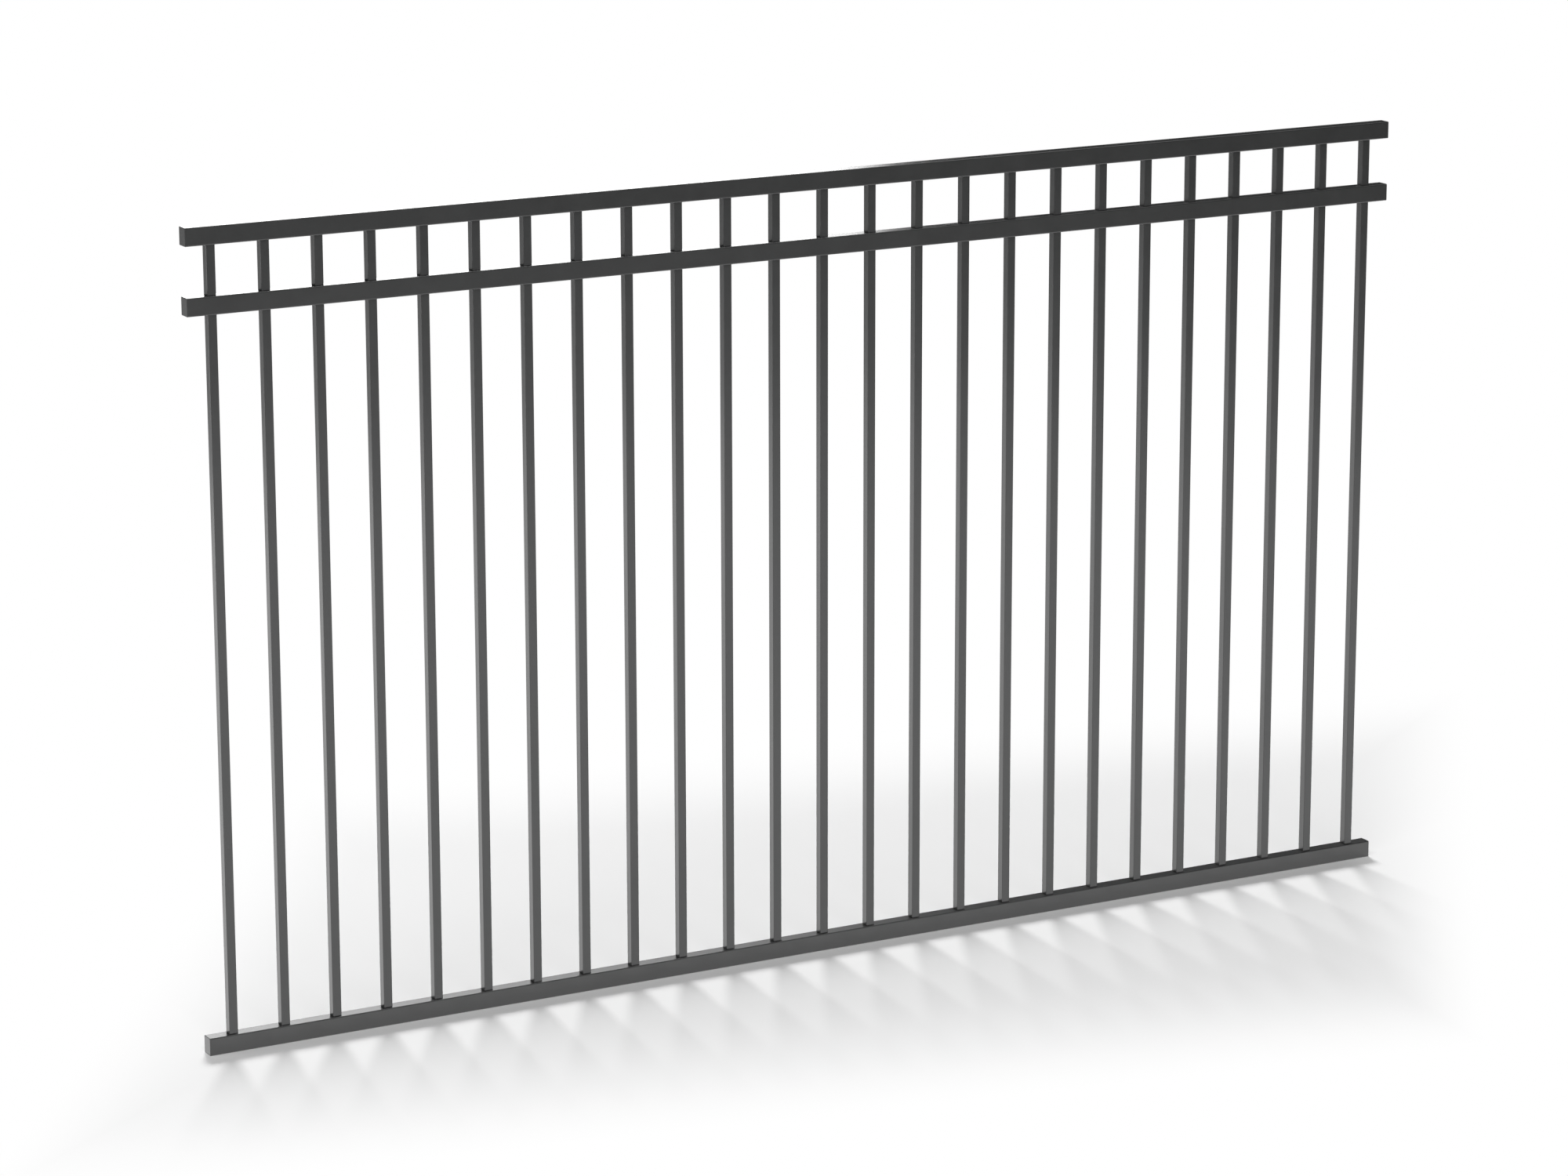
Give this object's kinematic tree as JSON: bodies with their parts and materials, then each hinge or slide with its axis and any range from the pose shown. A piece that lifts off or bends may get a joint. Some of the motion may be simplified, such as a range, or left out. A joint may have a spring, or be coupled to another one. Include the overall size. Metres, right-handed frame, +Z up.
{
  "type": "steel pool fence panel",
  "caption": "Flat-topped steel tube fence panel: square pickets pass through a close pair of top rails and stand in a bottom rail, with plugged rail ends.",
  "frame": {"origin": "middle of the bottom rail's left end face, where the panel meets its post bracket", "axes": "+X along the panel from the left end to the right, +Y from the front to the back, +Z up"},
  "size_m": [2.438, 0.0254, 1.45],
  "materials": {
    "rail_coat": "satin black powder coat over galvanised steel tube",
    "picket_coat": "satin black powder coat over galvanised steel tube",
    "cap_plastic": "moulded black plastic, smooth satin"
  },
  "bodies": {
    "root": {"top_rail": "rail_coat", "second_rail": "rail_coat", "bottom_rail": "rail_coat", "picket_01": "picket_coat", "picket_02": "picket_coat", "picket_03": "picket_coat", "picket_04": "picket_coat", "picket_05": "picket_coat", "picket_06": "picket_coat", "picket_07": "picket_coat", "picket_08": "picket_coat", "picket_09": "picket_coat", "picket_10": "picket_coat", "picket_11": "picket_coat", "picket_12": "picket_coat", "picket_13": "picket_coat", "picket_14": "picket_coat", "picket_15": "picket_coat", "picket_16": "picket_coat", "picket_17": "picket_coat", "picket_18": "picket_coat", "picket_19": "picket_coat", "picket_20": "picket_coat", "picket_21": "picket_coat", "picket_22": "picket_coat", "picket_23": "picket_coat", "picket_24": "picket_coat", "picket_25": "picket_coat", "top_rail_left_cap": "cap_plastic", "top_rail_right_cap": "cap_plastic", "second_rail_left_cap": "cap_plastic", "second_rail_right_cap": "cap_plastic", "bottom_rail_left_cap": "cap_plastic", "bottom_rail_right_cap": "cap_plastic"}
  },
  "joints": []
}
